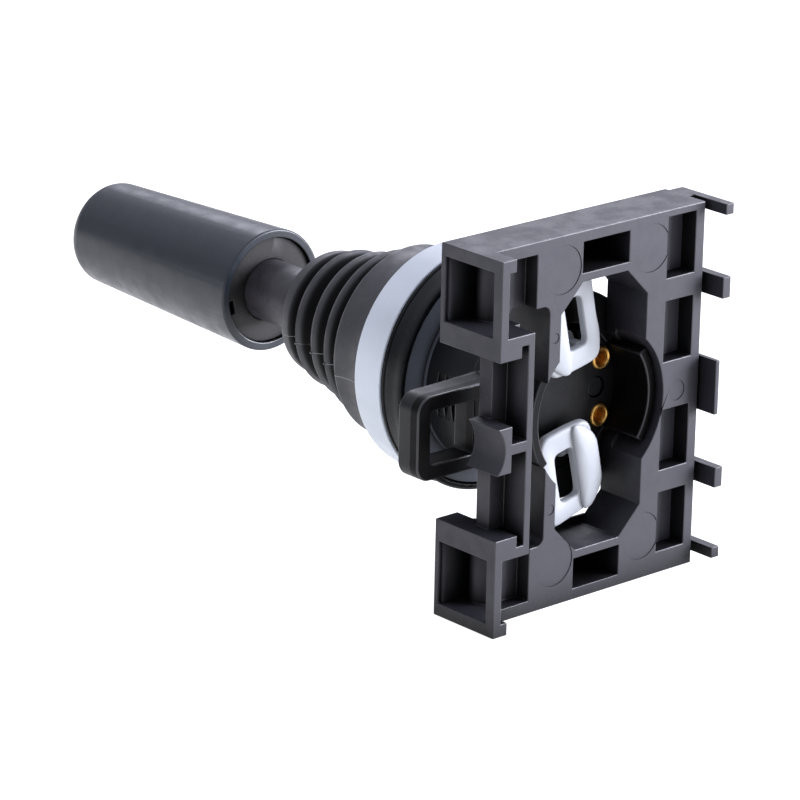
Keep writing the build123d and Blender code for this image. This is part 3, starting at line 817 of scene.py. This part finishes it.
def rivet_tree():
    """Places a rivet at each corner of a rectangle."""
    tree = bpy.data.node_groups.new("rivets at the corners", "GeometryNodeTree")
    face = tree.interface
    face.new_socket("Geometry", in_out="INPUT", socket_type="NodeSocketGeometry")
    wide = face.new_socket("Across", in_out="INPUT", socket_type="NodeSocketFloat")
    high = face.new_socket("Up", in_out="INPUT", socket_type="NodeSocketFloat")
    metal = face.new_socket("Metal", in_out="INPUT", socket_type="NodeSocketMaterial")
    face.new_socket("Geometry", in_out="OUTPUT", socket_type="NodeSocketGeometry")
    start = tree.nodes.new("NodeGroupInput")
    end = tree.nodes.new("NodeGroupOutput")
    corners = tree.nodes.new("GeometryNodeMeshGrid")
    corners.inputs["Vertices X"].default_value = 2
    corners.inputs["Vertices Y"].default_value = 2
    upright = tree.nodes.new("GeometryNodeTransform")
    upright.inputs["Rotation"].default_value = (QUARTER, 0, 0)
    placed = tree.nodes.new("GeometryNodeInstanceOnPoints")
    real = tree.nodes.new("GeometryNodeRealizeInstances")
    coated = tree.nodes.new("GeometryNodeSetMaterial")
    links = tree.links
    links.new(start.outputs["Across"], corners.inputs["Size X"])
    links.new(start.outputs["Up"], corners.inputs["Size Y"])
    links.new(corners.outputs["Mesh"], upright.inputs["Geometry"])
    links.new(upright.outputs["Geometry"], placed.inputs["Points"])
    links.new(start.outputs["Geometry"], placed.inputs["Instance"])
    links.new(placed.outputs["Instances"], real.inputs["Geometry"])
    links.new(real.outputs["Geometry"], coated.inputs["Geometry"])
    links.new(start.outputs["Metal"], coated.inputs["Material"])
    links.new(coated.outputs["Geometry"], end.inputs["Geometry"])
    return tree, {"across": wide.identifier, "up": high.identifier, "metal": metal.identifier}


def make_rivets():
    """The four brass rivets as one piece."""
    thing = piece_from("brass_rivets", eyelet_mesh(), [brass], None)
    tree, inputs = rivet_tree()
    grid = thing.modifiers.new("corners", "NODES")
    grid.node_group = tree
    grid[inputs["across"]] = 2 * rivet_x
    grid[inputs["up"]] = 2 * rivet_y
    grid[inputs["metal"]] = brass
    baked(thing)
    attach(thing, "device")
    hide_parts("hollow_rivets")


# Stirrup tappets


def stirrup_point(place, height, side):
    """A place in the stirrup's own frame turned to the upper side (1) or the lower side (-1)."""
    across, up = place[0] * -side, place[1] * -side
    x = across * math.cos(stirrup_turn) + up * math.sin(stirrup_turn) + stirrup_shift.x
    y = up * math.cos(stirrup_turn) - across * math.sin(stirrup_turn) + stirrup_shift.y
    return (x, -height, y)


def stirrup_section(centre, angle, reaches, side):
    """A cut in one direction from a centre, from (reach, height) points."""
    way = Vector((math.cos(angle), math.sin(angle)))
    return [stirrup_point(centre + way * reach, height, side) for reach, height in reaches]


def stirrup_plate(side, steps=180):
    """The flat frame round the window, with soft rims at the back."""
    outer = round_corners(millimetres(stirrup_outline), stirrup_corner)
    window = round_corners(millimetres(window_outline), window_corner)
    centre = middle_of(window)
    sections = []
    for angle in ways_round(steps):
        near = ray_reach(window, centre, angle)
        far = ray_reach(outer, centre, angle)
        reaches = [(near, stirrup_front)]
        for bend in bends(3):
            lift = stirrup_edge * (1 - math.sin(bend))
            reaches.append((near + window_edge * (1 - math.cos(bend)), stirrup_back + lift))
        for bend in bends(4):
            lift = stirrup_edge * (1 - math.cos(bend))
            reaches.append((far - stirrup_edge * (1 - math.sin(bend)), stirrup_back + lift))
        reaches.append((far, stirrup_front))
        sections.append(stirrup_section(centre, angle, reaches, side))
    return lofted("plate", sections)


def stirrup_pad(side, steps=120):
    """The crowned pad that meets the contact block, with a fine groove round its foot."""
    outline = round_corners(millimetres(pad_outline), pad_corner)
    centre = middle_of(outline)
    sections = []
    for angle in ways_round(steps):
        far = ray_reach(outline, centre, angle)
        foot = far - groove_width
        reaches = [(0, pad_root), (foot, pad_root), (foot, groove_floor), (far, pad_edge)]
        for bend in bends(12, first=1):
            reaches.append((far * math.cos(bend), pad_edge - pad_rise * math.sin(bend)))
        sections.append(stirrup_section(centre, angle, reaches, side))
    return lofted("pad", sections)


def tappet_stem(side, steps=40):
    """The domed head and the stem, which narrows behind the base plate."""
    sections = []
    for angle in ways_round(steps):
        section = []
        for radius, height in stem_outline:
            x = stem_place[0] + radius * MM * math.cos(angle)
            y = side * stem_place[1] + radius * MM * math.sin(angle)
            section.append((x, -height * MM, y))
        sections.append(section)
    return lofted("stem", sections, sharpest=35)


def make_stirrups():
    """The two light tappets, each with its stirrup."""
    for name, side in (("upper_tappet", 1), ("lower_tappet", -1)):
        mesh = joined(name, [stirrup_plate(side), stirrup_pad(side), tappet_stem(side)])
        piece_from(name + "_dressed", mesh, [white_plastic], name, [name])


# Closed walls


def moved(box, rise):
    """A box moved up by a distance."""
    (left, foot, back), (right, top, front) = box
    return (left, foot + rise, back), (right, top + rise, front)


def mirrored(box):
    """A box's twin on the other side of the middle."""
    (left, foot, back), (right, top, front) = box
    return (left, -top, back), (right, -foot, front)


def make_blocks(name, boxes, material):
    """A piece on the device made of plain blocks, each between two corners in millimetres."""
    form = bmesh.new()
    for low, high in boxes:
        size = [(end - start) * MM for start, end in zip(low, high)]
        middle = [(start + end) / 2 * MM for start, end in zip(low, high)]
        place = Matrix.Translation((middle[0], -middle[2], middle[1]))
        shape = Matrix.Diagonal((size[0], size[2], size[1], 1))
        bmesh.ops.create_cube(form, size=1, matrix=place @ shape)
    piece_from(name, mesh_of(form, name), [material], "device")


def make_closed_walls():
    """The walls that close the latch boxes, the floors of the oblong recesses and of the pockets."""
    make_blocks("latch_box_walls", [box_wall, mirrored(box_wall)], adapter_plastic)
    make_blocks("recess_floors", [recess_floor, mirrored(recess_floor)], dark_plastic)
    make_blocks("pocket_floors", [moved(pocket_floor, rise) for rise in pocket_centres], pocket_plastic)


# Gasket and springs


def make_gasket():
    """The channel gasket with its thin glossy lip behind the bezel."""
    outline = [(gasket_inner, gasket_chamfer), (gasket_inner + gasket_chamfer, 0)]
    corner = gasket_outer - gasket_round
    for bend in bends(5):
        outline.append((corner + gasket_round * math.sin(bend), gasket_round * (1 - math.cos(bend))))
    outline += [(gasket_wall, waist_height - waist_reach), (gasket_waist, waist_height),
                (gasket_wall, waist_height + waist_reach)]
    lip_root = gasket_outer - gasket_lip_reach
    for bend in bends(5, whole=math.pi):
        radius = lip_root + gasket_lip_reach * math.sin(bend)
        outline.append((radius, gasket_lip_height - gasket_lip_half * math.cos(bend)))
    outline += [(gasket_waist, gasket_front), (gasket_inner, gasket_front)]
    mesh = lathed("gasket", outline, gasket_steps)
    piece_from("channel_gasket", mesh, [gasket_rubber], "device", ["panel_gasket"])


def make_springs():
    """The four coils between the housing's floor and the tappets, copied as they stand."""
    for side in ("upper", "lower", "left", "right"):
        node = side + "_spring"
        mesh = cad[node].data.copy()
        coil = piece_from(node + "_coil", mesh, [spring_steel], None, [node])
        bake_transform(coil)


def carry_over(node, material):
    """Gives a CAD node that stays its own material."""
    mesh = cad[node].data
    mesh.materials.clear()
    mesh.materials.append(material)


def make_pieces():
    """Every piece of the joystick: dressed copies, pieces made here, and CAD nodes carried over."""
    adapter = [adapter_plastic, adapter_edge]
    lock = [lever_plastic, lever_edge]
    house = [housing_plastic, housing_edge]
    grip = [grip_plastic, grip_edge]
    dress("contact_adapter", "device", adapter)
    dress("locking_lever", "locking_lever", lock, rounding=0.2 * MM)
    dress("housing", "device", house, rounding=0.1 * MM, run=3.5, width=2.5)
    dress("base_plate", "device", [dark_plastic], rounding=0.08 * MM, run=5, width=4)
    dress("bezel_ring", "device", [pale_plastic], rounding=0.15 * MM)
    make_stirrups()
    make_closed_walls()
    for tappet in ("left_tappet", "right_tappet"):
        dress(tappet, tappet, house, rounding=0.1 * MM)
    dress("grip_sleeve", "lever", grip, rounding=0.15 * MM)
    dress("grip_plug", "lever", [plug_plastic], run=3.5, width=2.5, turned=plug_turn)
    dress("lever_shaft", "lever", [black_steel], width=1.5)
    make_boot()
    make_gasket()
    make_rivets()
    for node in ("gimbal_ring", "grip_core"):
        carry_over(node, dark_plastic)
    for node in ("trunnion_pins", "lever_pin", "grip_pin"):
        carry_over(node, spring_steel)
    make_springs()


# Stage


def make_camera():
    """The camera where the photo's stood."""
    lens = bpy.data.cameras.new("camera")
    lens.lens = camera_lens
    lens.sensor_width = camera_sensor
    lens.clip_start = camera_nearest
    lens.clip_end = camera_farthest
    holder = bpy.data.objects.new("camera", lens)
    backward = Vector(camera_behind).normalized()
    upward = backward.cross(Vector(camera_across).normalized()).normalized()
    across = upward.cross(backward)
    turned = Matrix((across, upward, backward)).transposed().to_4x4()
    holder.matrix_world = Matrix.Translation(camera_place) @ turned
    bpy.context.scene.collection.objects.link(holder)
    bpy.context.scene.camera = holder


def make_light(name, place, power):
    """A soft square light that faces the object."""
    lamp = bpy.data.lights.new(name, "AREA")
    lamp.size = lamp_size
    lamp.energy = power
    lamp.color = studio_tint
    holder = bpy.data.objects.new(name, lamp)
    holder.location = place
    aim = Vector(lamp_aim) - Vector(place)
    holder.rotation_mode = "QUATERNION"
    holder.rotation_quaternion = aim.to_track_quat("-Z", "Y")
    bpy.context.scene.collection.objects.link(holder)


def make_floor():
    """A plain pale floor under the object, which glows so that no shadow shows on it."""
    height = cad_low.z - floor_gap
    mesh = bpy.data.meshes.new("floor")
    signs = [(-1, -1), (1, -1), (1, 1), (-1, 1)]
    mesh.from_pydata([(x * floor_reach, y * floor_reach, height) for x, y in signs], [], [(0, 1, 2, 3)])
    floor = bpy.data.objects.new("floor", mesh)
    paper = finish("studio floor", (floor_grey, floor_grey, floor_grey), 0.8, specular=0.1)
    glow = paper.node_tree.nodes["Principled BSDF"]
    glow.inputs["Emission Color"].default_value = (1, 1, 1, 1)
    glow.inputs["Emission Strength"].default_value = floor_glow
    mesh.materials.append(paper)
    bpy.context.scene.collection.objects.link(floor)


def make_surround():
    """A pale surround that is brighter overhead than at the horizon."""
    world = bpy.data.worlds.new("studio")
    world.use_nodes = True
    tree = world.node_tree
    sky = tree.nodes["Background"]
    sky.inputs["Color"].default_value = (*studio_tint, 1)
    strength = spread(tree, places(tree, "Generated")["Z"], sky_low, sky_high, 0.0, 1.0)
    tree.links.new(strength, sky.inputs["Strength"])
    bpy.context.scene.world = world
    bpy.context.scene.view_settings.view_transform = "Standard"


make_pieces()
make_camera()
make_floor()
make_surround()
make_light("rear", rear_lamp, rear_power)
make_light("far side", side_lamp, side_power)
